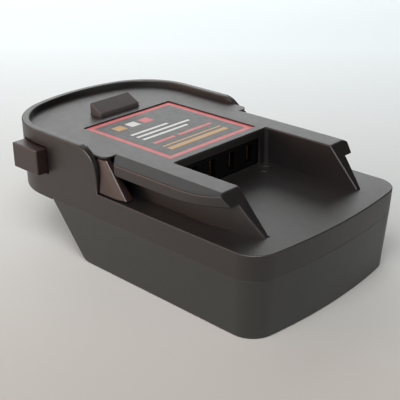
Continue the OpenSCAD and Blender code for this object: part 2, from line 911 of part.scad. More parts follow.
module lower_cuts() {
    for (i = [0:len(screw_sites) - 1]) {
        site = screw_sites[i];
        base = site_base[i % len(site_base)];
        translate([site[0].x, site[0].y, base - over]) {
            cylinder(h = site[1] - base + over, r = screw_head_r + head_clear);
            cylinder(h = site[2] - base + 2 * over, r = screw_r + screw_clear);
        }
    }
    for (side = [-1, 1]) {
        translate([side * block_screw_x, block_screw_y, roof_under - over])
            cylinder(h = roof_t + block_boss_h, r = small_screw_r + small_pilot);
        for (x = [power_blade_x, signal_blade_x])
            block([side * x - tail_slot_w / 2, blade_y0 - tail_slot_gap, roof_under - over],
                [side * x + tail_slot_w / 2, blade_tail_end + tail_slot_gap,
                parting_h + over]);
    }
}

module lower_shell() {
    color(black_plastic) difference() {
        union() {
            difference() {
                skirt_outside();
                along_z(-over, roof_under)
                    body_plan(socket_in, socket_front_in, y_skirt + over);
            }
            inner_rails();
            tongue();
            along_z(floor_z, floor_top) tail_plan(wall + fit_gap, y_skirt - floor_lap);
            both_sides() latch_ledge();
            standoffs();
            lower_bosses();
        }
        lower_cuts();
    }
}

// Latches and their springs

// Outline of a hook at its foot or its top, with the lead-in chamfer at its front edge
function hook_outline(z, x, chamfer) = [
    [hook_in, y_plate, z], [hook_in, hook_edge(z), z],
    [x - chamfer * hook_lead, hook_edge(z), z],
    [x, hook_edge(z) + chamfer * hook_chamfer, z], [x, y_plate, z]
];

// Hook whose rear edge follows the rounded front of the side wall
module hook() {
    difference() {
        loft(hook_outline(hook_z0, hook_x, 1),
            hook_outline(hook_z1, hook_x - hook_draft, hook_lead_taper));
        along_x(hook_in - over, hook_x + over) {
            translate([round_y, round_z]) circle(side_round + run_gap);
            translate([hook_rear, hook_z0 - over])
                square([side_round, round_z - hook_z0 + over]);
        }
    }
}

module latch() {
    hook();
    block([hook_in, hook_rear - over, arm_z0], [latch_x, button_y0 + over, button_z1]);
    block([flange_in + over, button_y0, button_z0],
        [half_w + button_proud, button_y1, button_z1]);
    along_z(flange_z0, flange_z1) intersection() {
        tail_plan(wall + run_gap, button_y0 - flange_lap - over);
        translate([flange_in, button_y0 - flange_lap])
            square([flange_t + over, button_l + 2 * flange_lap]);
    }
    translate([flange_in - spigot_l, button_mid_y, button_mid_z]) rotate([0, 90, 0])
        cylinder(h = spigot_l + embed, r = spigot_r);
}

module left_latch() {
    color(black_plastic) mirror([1, 0, 0]) latch();
}

module right_latch() {
    color(black_plastic) latch();
}

// Points of the right spring, from its seat on the lower shell to the latch
spring_x0 = spring_seat_x + spring_wire / 2 + spring_end_gap;
spring_x1 = flange_in - spring_wire / 2 - spring_end_gap;
spring_points = [for (i = [0:spring_turns * spring_rings])
    [
        spring_x0 + (spring_x1 - spring_x0) * i / (spring_turns * spring_rings),
        button_mid_y + spring_r * cos(360 * i / spring_rings),
        button_mid_z + spring_r * sin(360 * i / spring_rings)
    ]];
spring_gap = norm(spring_points[spring_rings] - spring_points[0]) - spring_wire;
echo(spring_least_gap = spring_gap);

module left_latch_spring() {
    color(steel) mirror([1, 0, 0]) tube(spring_points, spring_wire / 2, spring_sides);
}

module right_latch_spring() {
    color(steel) tube(spring_points, spring_wire / 2, spring_sides);
}

// Label and stop pad

module label() {
    color(label_red) block([-label_w / 2, label_y, plate_z - label_recess],
        [label_w / 2, label_y + label_l, plate_z - label_recess + label_t]);
}

// Plug that holds the pad in the plate
module pad_plug(gap, extra) {
    mid = pad_y + pad_l / 2;
    block([-pad_plug_w / 2 - gap, mid - pad_plug_l / 2 - gap,
        plate_z - pad_seat - pad_plug_h - extra],
        [pad_plug_w / 2 + gap, mid + pad_plug_l / 2 + gap, plate_z - pad_seat]);
}

module stop_pad() {
    low = plate_z - pad_seat;
    color(pad_rubber) {
        along_x(-pad_w / 2, pad_w / 2) polygon([
            [pad_y, low], [pad_y + pad_l, low], [pad_y + pad_l, plate_z + pad_rear_h],
            [pad_y, plate_z + pad_front_h]
        ]);
        pad_plug(0, 0);
    }
}

// Terminals on the tool's side

contact_places = [power_x, -power_x, signal_x, -signal_x];

module tool_terminal_block() {
    front = tool_block_y;
    rear = front + tool_block_l;
    color(dark_plastic) difference() {
        union() {
            block([-tool_block_w / 2, front, tool_block_z0], [tool_block_w / 2, rear, tool_block_z1]);
            for (side = [-1, 1])
                translate([side * ear_x, ear_y, ear_z0]) cylinder(h = ear_t, r = ear_r);
            block([-ear_x, ear_y - ear_web, ear_z0], [ear_x, ear_y + ear_web, ear_z1]);
        }
        for (x = contact_places) {
            block([x - slot_w / 2, front - over, tool_slot_z0],
                [x + slot_w / 2, tool_slot_end, tool_slot_z1]);
            block([x - contact_tail_t / 2 - fit_gap, tool_slot_end - over,
                contact_tail_z0 - fit_gap],
                [x + contact_tail_t / 2 + fit_gap, rear + over,
                contact_tail_z0 + contact_tail_h + fit_gap]);
        }
        for (side = [-1, 1]) translate([side * ear_x, ear_y, ear_z0 - over])
            cylinder(h = ear_t + 2 * over, r = small_screw_r + screw_clear);
    }
}

// Fork contact: two leaves that close towards the mouth, on a base with a tail
module tool_contact(x) {
    base = tool_slot_end;
    outer = [
        [contact_half, base], [contact_half, base - contact_straight],
        [pinch_half, base - pinch_at], [mouth_half, base - contact_l]
    ];
    inner = [for (i = [3:-1:1]) outer[i] - [contact_t, 0]];
    leaf = concat(outer, inner, [[contact_half - contact_t, base - contact_t]]);
    color(brass) translate([x, 0, 0]) {
        along_z(contact_z0, contact_z1) polygon(concat(
            leaf, [for (i = [len(leaf) - 1:-1:0]) [-leaf[i].x, leaf[i].y]]
        ));
        block([-contact_tail_t / 2, base - contact_t, contact_tail_z0],
            [contact_tail_t / 2, contact_tail_end, contact_tail_z0 + contact_tail_h]);
    }
}

module tool_contact_positive() { tool_contact(power_x); }
module tool_contact_negative() { tool_contact(-power_x); }
module tool_contact_sense() { tool_contact(signal_x); }
module tool_contact_data() { tool_contact(-signal_x); }

// Terminals on the battery's side

blade_places = [power_blade_x, -power_blade_x, signal_blade_x, -signal_blade_x];

// Blade with its upright tail, grown by a gap for the slot that holds it
module blade(x, gap = 0, rear = blade_tip) {
    along_x(x - blade_t / 2 - gap, x + blade_t / 2 + gap) polygon([
        [blade_y0 - gap, blade_z0 - gap], [rear, blade_z0 - gap],
        [rear, blade_z1 + gap], [blade_tail_end + gap, blade_z1 + gap],
        [blade_tail_end + gap, blade_top], [blade_y0 - gap, blade_top]
    ]);
}

module battery_terminal_block() {
    color(dark_plastic) difference() {
        block([-battery_block_w / 2, battery_block_y, battery_block_z0],
            [battery_block_w / 2, battery_block_end, roof_under]);
        for (x = blade_places) blade(x, blade_slot_gap, battery_block_end + over);
        for (side = [-1, 1]) translate([side * block_screw_x, block_screw_y, battery_block_z0]) {
            translate([0, 0, -over]) cylinder(h = block_screw_seat - battery_block_z0 + over,
                r = small_head_r + head_clear);
            cylinder(h = battery_block_h + over, r = small_screw_r + screw_clear);
        }
    }
}

module battery_blade_positive() { color(brass) blade(power_blade_x); }
module battery_blade_negative() { color(brass) blade(-power_blade_x); }
module battery_blade_sense() { color(brass) blade(signal_blade_x); }
module battery_blade_data() { color(brass) blade(-signal_blade_x); }

// Circuit board and the parts on it

module circuit_board() {
    color(board_green) difference() {
        block([-board_w / 2, board_y, board_z], [board_w / 2, board_y + board_l, board_top]);
        for (c = board_corners()) translate([c.x, c.y, board_z - over])
            cylinder(h = board_t + 2 * over, r = standoff_pin_r + pin_gap);
    }
}

// Corner or centre of a part on the board
function on_board(place) = [place.x, board_y + place.y, board_top];

// Body and tab of one transistor, standing on the board
module transistor(place) {
    translate(on_board(place)) {
        translate([-transistor_body.x / 2, 0, 0]) cube(transistor_body);
        translate([-transistor_tab.x / 2, transistor_body.y, 0]) cube(transistor_tab);
    }
}

module power_transistors() {
    color(chip_black) for (side = [-1, 1])
        transistor([side * transistor_place.x, transistor_place.y]);
}

module controller_chip() {
    color(chip_black) translate(on_board(chip_place)) translate([-chip_size.x / 2, 0, 0])
        cube(chip_size);
}

module smoothing_capacitor() {
    color(chip_black) translate(on_board(capacitor_place)) difference() {
        cylinder(h = can_h, r = can_r);
        translate([0, 0, can_groove_z]) difference() {
            cylinder(h = can_groove_w, r = can_r + over);
            cylinder(h = can_groove_w, r = can_r - can_groove_depth);
        }
    }
}

// Ceramic fuse with a cap on each end
module input_fuse() {
    half = fuse_size.x / 2;
    waist = half - fuse_waist;
    color(fuse_sand) translate(on_board(fuse_place)) {
        block([-half, 0, 0], [half, fuse_cap, fuse_size.z]);
        block([-waist, fuse_cap, 0], [waist, fuse_size.y - fuse_cap, fuse_size.z - fuse_waist]);
        block([-half, fuse_size.y - fuse_cap, 0], [half, fuse_size.y, fuse_size.z]);
    }
}

// Leads

// Lead from a blade's tail to the board's front edge
module battery_lead(from_x, to_x, r) {
    start_y = blade_tail_end + lead_end_gap;
    start_z = parting_h + r + lead_lift;
    end_z = board_top + lead_gap + r;
    highest = deck_under - r - lead_roof_gap;
    span = board_y - start_y;
    tube(smooth([
        [from_x, start_y, start_z],
        [from_x, start_y + span * 0.1, start_z],
        [(from_x + to_x) / 2, start_y + span * 0.3, start_z + r / 2],
        [to_x, start_y + span * 0.55, start_z + r],
        [to_x, board_y - 2 * lead_pad, min(highest, end_z - r / 2)],
        [to_x, board_y - lead_pad / 3, end_z],
        [to_x, board_y + lead_pad, end_z]
    ], 3), r);
}

module wire_battery_positive() {
    color(wire_red) battery_lead(power_blade_x, lead_power_x, power_wire_r);
}

module wire_battery_negative() {
    color(wire_black) battery_lead(-power_blade_x, -lead_power_x, power_wire_r);
}

module wire_battery_sense() {
    color(wire_white) battery_lead(signal_blade_x, lead_signal_x, signal_wire_r);
}

module wire_battery_data() {
    color(wire_yellow) battery_lead(-signal_blade_x, -lead_signal_x, signal_wire_r);
}

// Lead from the board up to the tail of a tool contact
module tool_lead(foot_x, to_x, r) {
    start_y = contact_tail_end + lead_end_gap;
    start_z = contact_tail_z0 + contact_tail_h / 2;
    foot_y = start_y + tool_lead_reach;
    drop = start_z - board_top;
    tube(smooth([
        [to_x, start_y, start_z],
        [to_x, start_y + tool_lead_reach / 3, start_z],
        [(foot_x + to_x) / 2, start_y + tool_lead_reach * 0.83, start_z - drop * 0.3],
        [foot_x, foot_y, board_top + drop * 0.35],
        [foot_x, foot_y, board_top + lead_gap]
    ], 3), r);
}

module wire_tool_positive() {
    color(wire_red) tool_lead(power_x - power_foot_in, power_x, power_wire_r);
}

module wire_tool_negative() {
    color(wire_black) tool_lead(power_foot_in - power_x, -power_x, power_wire_r);
}

module wire_tool_sense() {
    color(wire_white) tool_lead(signal_x + signal_foot_out, signal_x, signal_wire_r);
}

module wire_tool_data() {
    color(wire_yellow) tool_lead(-signal_x - signal_foot_out, -signal_x, signal_wire_r);
}

// Fasteners

module shell_screws() {
    color(steel) for (site = screw_sites)
        translate([site[0].x, site[0].y, site[1]])
            screw(screw_head_r, screw_head_h, screw_r, site[3] - site[1]);
}

module tool_block_screws() {
    color(steel) for (side = [-1, 1]) translate([side * ear_x, ear_y, ear_z0])
        screw(small_head_r, small_head_h, small_screw_r, ear_t + plate_under - ear_z1);
}

module battery_block_screws() {
    color(steel) for (side = [-1, 1])
        translate([side * block_screw_x, block_screw_y, block_screw_seat])
            screw(small_head_r, small_head_h, small_screw_r,
                parting_h + block_boss_h - block_screw_short - block_screw_seat);
}

upper_shell();
lower_shell();
left_latch();
right_latch();
left_latch_spring();
right_latch_spring();
label();
stop_pad();
tool_terminal_block();
tool_contact_positive();
tool_contact_negative();
tool_contact_sense();
tool_contact_data();
battery_terminal_block();
battery_blade_positive();
battery_blade_negative();
battery_blade_sense();
battery_blade_data();
circuit_board();
power_transistors();
controller_chip();
smoothing_capacitor();
input_fuse();
wire_battery_positive();
wire_battery_negative();
wire_battery_sense();
wire_battery_data();
wire_tool_positive();
wire_tool_negative();
wire_tool_sense();
wire_tool_data();
shell_screws();
tool_block_screws();
battery_block_screws();
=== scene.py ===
"""Looks of a slide-on battery adapter for a cordless tool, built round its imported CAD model."""
import json
import math

import bmesh
import bpy
from mathutils import Matrix, Vector
from mathutils.bvhtree import BVHTree
from mathutils.kdtree import KDTree

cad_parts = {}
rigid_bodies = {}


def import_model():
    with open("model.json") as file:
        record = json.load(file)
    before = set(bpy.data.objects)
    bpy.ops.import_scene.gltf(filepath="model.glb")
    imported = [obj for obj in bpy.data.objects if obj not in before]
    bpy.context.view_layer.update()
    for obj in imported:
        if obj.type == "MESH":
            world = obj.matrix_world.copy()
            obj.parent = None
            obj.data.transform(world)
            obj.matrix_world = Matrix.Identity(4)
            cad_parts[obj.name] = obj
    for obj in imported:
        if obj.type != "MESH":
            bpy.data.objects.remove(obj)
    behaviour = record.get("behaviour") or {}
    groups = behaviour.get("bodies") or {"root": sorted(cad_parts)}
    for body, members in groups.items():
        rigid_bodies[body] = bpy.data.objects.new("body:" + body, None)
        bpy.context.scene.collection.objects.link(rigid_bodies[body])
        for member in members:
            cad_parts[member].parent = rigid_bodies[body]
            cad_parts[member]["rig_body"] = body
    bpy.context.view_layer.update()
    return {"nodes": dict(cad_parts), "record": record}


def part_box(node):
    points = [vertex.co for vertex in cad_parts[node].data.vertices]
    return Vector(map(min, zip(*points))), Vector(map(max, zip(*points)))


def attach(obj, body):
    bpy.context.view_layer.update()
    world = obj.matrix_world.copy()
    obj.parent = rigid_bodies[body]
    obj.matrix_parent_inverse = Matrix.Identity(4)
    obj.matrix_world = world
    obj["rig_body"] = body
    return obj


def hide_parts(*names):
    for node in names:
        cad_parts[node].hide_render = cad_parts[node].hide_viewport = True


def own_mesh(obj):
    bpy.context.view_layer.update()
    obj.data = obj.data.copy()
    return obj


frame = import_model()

MM = 0.001
NODES = frame["nodes"]
SLOTS = {part["node"]: part["material_slot"] for part in frame["record"]["subparts"]}
SCENE = bpy.context.scene

# Camera, as fitted to the photograph: angles in degrees, place in millimetres
CAMERA_AZIMUTH = -45.87
CAMERA_ELEVATION = 24.19
CAMERA_ROLL = -0.79
CAMERA_PLACE = (-206.8, -205.2, 148.0)
CAMERA_LENS = 78.32
SENSOR = 36.0

# Soft lights round the object: compass angle from +X, height angle, width and height in metres,
# brightness and tint. Each hangs LIGHT_DISTANCE away and faces the object's middle.
LIGHT_DISTANCE = 0.8
LIGHTS = {
    "back_low": (40, 18, 0.9, 0.45, 2.15, (0.98, 1.0, 0.99)),
    "back_high": (68, 48, 0.6, 0.45, 0.95, (0.97, 1.0, 0.99)),
    "back_left": (95, 22, 0.6, 0.45, 0.93, (1.0, 0.96, 0.92)),
    "left_low": (140, 12, 0.6, 0.35, 3.9, (1.0, 0.67, 0.53)),
    "left_front_low": (185, 12, 0.6, 0.35, 1.1, (1.0, 0.99, 0.97)),
    "left_front": (190, 32, 0.6, 0.45, 1.63, (0.98, 1.0, 0.96)),
    "front_left": (215, 58, 0.6, 0.45, 7.1, (1.0, 0.95, 0.94)),
    "front_right_low": (285, 12, 0.6, 0.35, 1.2, (1.0, 0.95, 0.92)),
}
LIGHT_TARGET = Vector((0, 0, 25 * MM))
SKY = (0.80, 0.84, 0.86)
SKY_STRENGTH = 0.02

# Floor: its colour runs from near the camera to the far end, along the view turned a little right. This
# run is painted light, darker near the camera and lighter far off, and the far end has a painted glow
# that camera, glossy and transmission rays see
FLOOR_HALF = 3.0
FLOOR_NEAR = (0.425, 0.419, 0.396)
FLOOR_FAR = (0.80, 0.88, 0.91)
# strength of the painted glow on the far floor
FLOOR_GLOW = 0.07
FLOOR_RUN = (-100 * MM, 290 * MM)
FLOOR_TURN = 5.0


def body_of(node):
    """Name of the CAD body that a node belongs to."""
    return NODES[node]["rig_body"]


# Materials

class Shader:
    """A material with a Principled shader, and short ways to add nodes to it."""

    def __init__(self, name, **values):
        self.material = bpy.data.materials.new(name)
        self.material.use_nodes = True
        self.nodes = self.material.node_tree.nodes
        self.links = self.material.node_tree.links
        self.principled = self.nodes["Principled BSDF"]
        self.place = self.nodes.new("ShaderNodeTexCoord").outputs["Object"]
        for socket, value in values.items():
            self.principled.inputs[socket.replace("_", " ")].default_value = value

    def noise(self, size, detail=2.0, stretch=(1, 1, 1)):
        """Noise whose blotches are about size metres across, drawn out along the axes by stretch."""
        mapping = self.nodes.new("ShaderNodeMapping")
        mapping.inputs["Scale"].default_value = [1 / (size * s) for s in stretch]
        node = self.nodes.new("ShaderNodeTexNoise")
        node.inputs["Scale"].default_value = 1.0
        node.inputs["Detail"].default_value = detail
        self.links.new(self.place, mapping.inputs["Vector"])
        self.links.new(mapping.outputs["Vector"], node.inputs["Vector"])
        return node.outputs["Fac"]

    def spread(self, value, low, high, from_low=0.3, from_high=0.7):
        """A value mapped to a range."""
        node = self.nodes.new("ShaderNodeMapRange")
        node.inputs["From Min"].default_value = from_low
        node.inputs["From Max"].default_value = from_high
        node.inputs["To Min"].default_value = low
        node.inputs["To Max"].default_value = high
        self.links.new(value, node.inputs["Value"])
        return node.outputs["Result"]

    def mix(self, factor, first, second):
        """Colour between two colours."""
        node = self.nodes.new("ShaderNodeMix")
        node.data_type = "RGBA"
        for name, colour in (("A", first), ("B", second)):
            socket = next(s for s in node.inputs if s.name == name and s.type == "RGBA")
            if isinstance(colour, tuple):
                socket.default_value = (*colour, 1.0)
            else:
                self.links.new(colour, socket)
        self.links.new(factor, node.inputs["Factor"])
        return next(s for s in node.outputs if s.type == "RGBA")

    def arithmetic(self, operation, first, second):
        """Two values put together by a Math node."""
        node = self.nodes.new("ShaderNodeMath")
        node.operation = operation
        self.links.new(first, node.inputs[0])
        self.links.new(second, node.inputs[1])
        return node.outputs["Value"]

    def paint(self, socket, output):
        """Drive one of the shader's sockets by a node."""
        self.links.new(output, self.principled.inputs[socket])

    def mottle(self, colour, share, size, stretch=(1, 1, 1)):
        """Base colour that wanders round one colour by a share of it."""
        dark = tuple(c * (1 - share) for c in colour)
        light = tuple(c * (1 + share) for c in colour)
        self.paint("Base Color", self.mix(self.spread(self.noise(size, 4.0, stretch), 0, 1), dark, light))

    def bump(self, height, depth):
        """Relief of a height from 0 to 1, depth metres deep."""
        node = self.nodes.new("ShaderNodeBump")
        node.inputs["Distance"].default_value = depth
        self.links.new(height, node.inputs["Height"])
        self.paint("Normal", node.outputs["Normal"])


def moulded_plastic(name, colour, roughness, grain=0.35 * MM, relief=0.02 * MM, ior=1.65):
    """Moulded plastic with a fine texture from its mould."""
    shader = Shader(name, IOR=ior)
    shader.mottle(colour, 0.08, 8 * MM)
    shader.paint("Roughness", shader.spread(shader.noise(3 * MM, 3.0), *roughness))
    shader.bump(shader.noise(grain), relief)
    return shader.material


def sheet_metal(name, colour, roughness, streak):
    """Bare metal with drawn streaks along one axis and a little tarnish."""
    shader = Shader(name, Metallic=1.0)
    shader.mottle(colour, 0.12, 2.5 * MM)
    lines = shader.noise(0.08 * MM, 2.0, streak)
    shader.paint("Roughness", shader.spread(lines, *roughness))
    shader.bump(lines, 0.004 * MM)
    return shader.material


def printed_film(name, colour, roughness):
    """Ink on a satin plastic film."""
    shader = Shader(name, IOR=1.5)
    shader.mottle(colour, 0.06, 1.5 * MM)
    shader.paint("Roughness", shader.spread(shader.noise(2 * MM), *roughness))
    shader.bump(shader.noise(0.5 * MM), 0.004 * MM)
    return shader.material


def board_laminate():
    """Green solder mask over copper tracks."""
    shader = Shader("board_laminate", Roughness=0.35)
    tracks = shader.nodes.new("ShaderNodeTexBrick")
    tracks.inputs["Scale"].default_value = 1 / (9 * MM)
    tracks.inputs["Mortar Size"].default_value = 0.06
    tracks.inputs["Color1"].default_value = (0.008, 0.075, 0.028, 1)
    tracks.inputs["Color2"].default_value = (0.010, 0.088, 0.034, 1)
    tracks.inputs["Mortar"].default_value = (0.030, 0.20, 0.080, 1)
    shader.links.new(shader.place, tracks.inputs["Vector"])
    shader.paint("Base Color", tracks.outputs["Color"])
    shader.bump(shader.noise(0.4 * MM), 0.01 * MM)
    return shader.material


def insulation(name, colour):
    """Soft plastic round a lead, with a drawn surface."""
    shader = Shader(name, IOR=1.48)
    shader.mottle(colour, 0.10, 3 * MM)
    shader.paint("Roughness", shader.spread(shader.noise(0.6 * MM), 0.32, 0.45))
    shader.bump(shader.noise(0.5 * MM), 0.01 * MM)
    return shader.material


UPPER_PLASTIC = moulded_plastic("upper_shell_plastic", (0.0070, 0.0054, 0.0056), (0.40, 0.44))
LOWER_PLASTIC = moulded_plastic("lower_shell_plastic", (0.0120, 0.0140, 0.0122), (0.41, 0.45))
LATCH_PLASTIC = moulded_plastic("latch_plastic", (0.0130, 0.0048, 0.0044), (0.38, 0.42))
PAD_RUBBER = moulded_plastic("pad_rubber", (0.048, 0.040, 0.040), (0.50, 0.60), 0.2 * MM, 0.02 * MM)
# Terminal plastic is near-black and low in gloss: partly its own dark colour, partly painted shade for
# the dim back of the tool pocket
BLOCK_PLASTIC = moulded_plastic("terminal_plastic", (0.0015, 0.0015, 0.0018), (0.40, 0.48), ior=1.25)
RESIN = moulded_plastic("chip_resin", (0.012, 0.012, 0.013), (0.45, 0.6), 0.15 * MM, 0.02 * MM)
CERAMIC = moulded_plastic("fuse_ceramic", (0.58, 0.50, 0.36), (0.30, 0.42), 0.3 * MM, 0.01 * MM)
SLEEVE = moulded_plastic("capacitor_sleeve", (0.02, 0.03, 0.07), (0.25, 0.35), 0.5 * MM, 0.01 * MM)
# Brass is darker than bare brass: partly its own colour, partly painted shade that keeps the contacts dim
# inside the tool pocket
BRASS = sheet_metal("contact_brass", (0.40, 0.26, 0.10), (0.26, 0.42), (1, 20, 1))
TIN = sheet_metal("tinned_metal", (0.62, 0.62, 0.60), (0.25, 0.40), (1, 12, 1))
SPRING_STEEL = sheet_metal("spring_steel", (0.50, 0.50, 0.51), (0.22, 0.36), (8, 1, 1))
SCREW_STEEL = sheet_metal("screw_steel", (0.46, 0.46, 0.48), (0.26, 0.42), (1, 1, 6))
FILM_FIELD = printed_film("label_field", (0.006, 0.006, 0.006), (0.36, 0.44))
FILM_RED = printed_film("label_red", (0.45, 0.060, 0.064), (0.38, 0.46))
FILM_GOLD = printed_film("label_gold", (0.36, 0.19, 0.035), (0.38, 0.46))
FILM_WHITE = printed_film("label_white", (0.50, 0.51, 0.50), (0.38, 0.46))
FILM_BACK = printed_film("label_back", (0.30, 0.30, 0.29), (0.50, 0.60))
BOARD = board_laminate()
LEADS = {
    "wire_red": insulation("wire_red", (0.42, 0.012, 0.010)),
    "wire_black": insulation("wire_black", (0.010, 0.010, 0.010)),
    "wire_white": insulation("wire_white", (0.68, 0.68, 0.64)),
    "wire_yellow": insulation("wire_yellow", (0.62, 0.38, 0.025)),
}


# Rounded copies of the CAD nodes

CORNER = math.radians(28)        # an edge that turns more than this is sharp
CREASE = math.radians(15)        # and so is one that turns more than this over a great length
CREASE_LENGTH = 30 * MM
WELD = 0.002 * MM                # points closer than this are one point
FLAT = math.radians(0.5)         # faces that turn less than this are one face
SLIVER = 0.11 * MM               # shorter edges are drawn together
ROOM_SHARE = 0.42                # of the narrower face beside an edge goes to its rounding
ALONGSIDE = 0.7                  # cosine within which two edges run alongside each other
AHEAD = 0.5                      # cosine within which an edge lies across a face
SAMPLE_STEP = 0.4 * MM
RUN_TURN = math.radians(40)      # edges that meet at less than this make one run
RUN_NARROW = 0.2                 # share of a run's length that may have less room than it needs
ROUND_STEPS = 3
SMOOTH_LIMIT = math.radians(40)  # shading is smooth across less than this
STRAY_SHARE = 0.45               # a point this share of the radius off the CAD surface is put back


def mesh_from(shape, name):
    """Mesh of a shape, without the normals that the CAD mesh came with."""
    mesh = bpy.data.meshes.new(name)
    shape.to_mesh(mesh)
    shape.free()
    if "custom_normal" in mesh.attributes:
        mesh.attributes.remove(mesh.attributes["custom_normal"])
    return mesh


def clean_shape(node):
    """A node's mesh with slivers drawn together and flat faces cut into well-shaped triangles."""
    shape = bmesh.new()
    shape.from_mesh(NODES[node].data)
    bmesh.ops.remove_doubles(shape, verts=shape.verts, dist=WELD)
    bmesh.ops.dissolve_degenerate(shape, dist=SLIVER, edges=shape.edges)
    bmesh.ops.dissolve_limit(shape, angle_limit=FLAT, verts=shape.verts, edges=shape.edges)
    bmesh.ops.triangulate(shape, faces=shape.faces, quad_method="BEAUTY", ngon_method="BEAUTY")
    shape.faces.ensure_lookup_table()
    shape.edges.ensure_lookup_table()
    return shape


def is_sharp(edge):
    """Whether an edge parts two smooth faces."""
    turn = edge.calc_face_angle(0.0)
    return turn > CORNER or (turn > CREASE and edge.calc_length() > CREASE_LENGTH)


def smooth_patches(shape):
    """For each face, the number of the smooth patch that it lies in."""
    patch = [None] * len(shape.faces)
    for start in shape.faces:
        if patch[start.index] is not None:
            continue
        patch[start.index] = start.index
        waiting = [start]
        while waiting:
            face = waiting.pop()
            for edge in face.edges:
                if is_sharp(edge):
                    continue
                for other in edge.link_faces:
                    if patch[other.index] is None:
                        patch[other.index] = start.index
                        waiting.append(other)
    return patch


def along(edge):
    """Points spread along an edge, its ends left out."""
    first, last = (v.co for v in edge.verts)
    count = max(1, round(edge.calc_length() / SAMPLE_STEP))
    return [first.lerp(last, (i + 0.5) / count) for i in range(count)]


def room_beside(shape, sharp, reach):
    """For each sharp edge, how far its faces run before another edge alongside it, up to reach."""
    patch = smooth_patches(shape)
    samples = [(point, edge) for edge in sharp for point in along(edge)]
    tree = KDTree(len(samples))
    for number, (point, _) in enumerate(samples):
        tree.insert(point, number)
    tree.balance()
    heading = {e: (e.verts[1].co - e.verts[0].co).normalized() for e in sharp}
    sides = {e: {patch[face.index] for face in e.link_faces} for e in sharp}
    room = {}
    for edge in sharp:
        best = reach
        for loop in edge.link_loops:
            step = (loop.link_loop_next.vert.co - loop.vert.co).normalized()
            inward = loop.face.normal.cross(step)
            ground = patch[loop.face.index]
            for point in along(edge):
                for place, number, distance in tree.find_range(point, reach):
                    other = samples[number][1]
                    if other is edge or ground not in sides[other]:
                        continue
                    if abs(heading[other].dot(heading[edge])) < ALONGSIDE:
                        continue
                    across = (place - point).dot(inward)
                    if across > AHEAD * distance:
                        best = min(best, across)
        room[edge] = best
    return room


def gentle_runs(sharp):
    """Sharp edges in runs, each of which turns only gently from edge to edge."""
    left = dict.fromkeys(sharp)
    runs = []
    for first in sharp:
        if first not in left:
            continue
        del left[first]
        run = [first]
        for edge in run:
            for vertex in edge.verts:
                meeting = [e for e in vertex.link_edges if is_sharp(e)]
                if len(meeting) != 2:
                    continue
                other = meeting[meeting[0] is edge]
                here = edge.other_vert(vertex).co - vertex.co
                there = vertex.co - other.other_vert(vertex).co
                if other in left and here.angle(there) < RUN_TURN:
                    del left[other]
                    run.append(other)
        runs.append(run)
    return runs


def run_radius(run, room, radius_at):
    """One radius for a run of edges: the wanted one at its middle, or less where it has little room."""
    run = sorted(run, key=room.get)
    narrow = RUN_NARROW * sum(e.calc_length() for e in run)
    for edge in run:
        narrow -= edge.calc_length()
        if narrow <= 0:
            break
    wanted = sorted(radius_at((e.verts[0].co + e.verts[1].co) / 2) for e in run)
    return min(wanted[len(wanted) // 2], ROOM_SHARE * room[edge])


def rounded_mesh(node, radius_at):
    """Copy of a node's mesh with its outer edges rounded. radius_at gives the radius at a place."""
    shape = clean_shape(node)
    weight = shape.edges.layers.float.new("bevel_weight_edge")
    surface = BVHTree.FromBMesh(shape)
    sharp = [e for e in shape.edges if is_sharp(e)]
    largest = max(radius_at((e.verts[0].co + e.verts[1].co) / 2) for e in sharp)
    room = room_beside(shape, sharp, largest / ROOM_SHARE)
    for run in gentle_runs(sharp):
        share = run_radius(run, room, radius_at) / largest
        for edge in run:
            if edge.is_convex:
                edge[weight] = share
    mesh = mesh_from(shape, node)
    draft = bpy.data.objects.new(node + "_draft", mesh)
    SCENE.collection.objects.link(draft)
    bevel = draft.modifiers.new("round", "BEVEL")
    bevel.limit_method = "WEIGHT"
    bevel.width = largest
    bevel.segments = ROUND_STEPS
    bevel.use_clamp_overlap = False
    bevel.loop_slide = False
    bevel.miter_outer = "MITER_ARC"
    result = bpy.data.meshes.new_from_object(draft.evaluated_get(bpy.context.evaluated_depsgraph_get()))
    bpy.data.objects.remove(draft)
    bpy.data.meshes.remove(mesh)
    for vertex in result.vertices:
        place, _, _, distance = surface.find_nearest(vertex.co)
        if distance > STRAY_SHARE * largest:
            vertex.co = place
    return result


def dressed(name, mesh, node, materials):
    """A piece that stands for a CAD node and rides on the node's body."""
    for material in materials:
        mesh.materials.append(material)
    piece = bpy.data.objects.new(name, mesh)
    SCENE.collection.objects.link(piece)
    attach(piece, body_of(node))
    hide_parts(node)
    return piece


def shade_smooth(piece):
    """Smooth shading that keeps flat faces flat beside their rounded edges."""
    piece.data.shade_smooth()
    piece.data.set_sharp_from_angle(angle=SMOOTH_LIMIT)
    weighted = piece.modifiers.new("weighted", "WEIGHTED_NORMAL")
    weighted.keep_sharp = True


def rounded(node, material, radius):
    """Piece with the shape of a CAD node and rounded edges. radius is a length or a function of place."""
    radius_at = radius if callable(radius) else lambda place: radius
    piece = dressed(node + "_finished", rounded_mesh(node, radius_at), node, [material])
    shade_smooth(piece)
    return piece


# Edge radii of the shells: wide along the crease of the lips, at the prongs' ends and on the rim,
# narrow along the seam and where the plate ends
SEAM_Z = 21.0 * MM
SEAM_NEAR = 0.6 * MM
SEAM_RADIUS = 0.1 * MM
PLATE_Z = 43.0 * MM
PLATE_NEAR = 0.8 * MM
PLATE_RADIUS = 0.15 * MM
RIM_RADIUS = 0.5 * MM
LIP_IN = 31.2 * MM
LIP_CREASE = (40.3 * MM, 42.8 * MM)
LIP_END_Y = 1.0 * MM
LIP_RADIUS = 0.5 * MM
DECK_Z = 29.8 * MM
DECK_NEAR = 0.5 * MM
PRONG_END_Y = -43.5 * MM
PRONG_RADIUS = 0.55 * MM
UPPER_RADIUS = 0.4 * MM
LOWER_RADIUS = 0.45 * MM


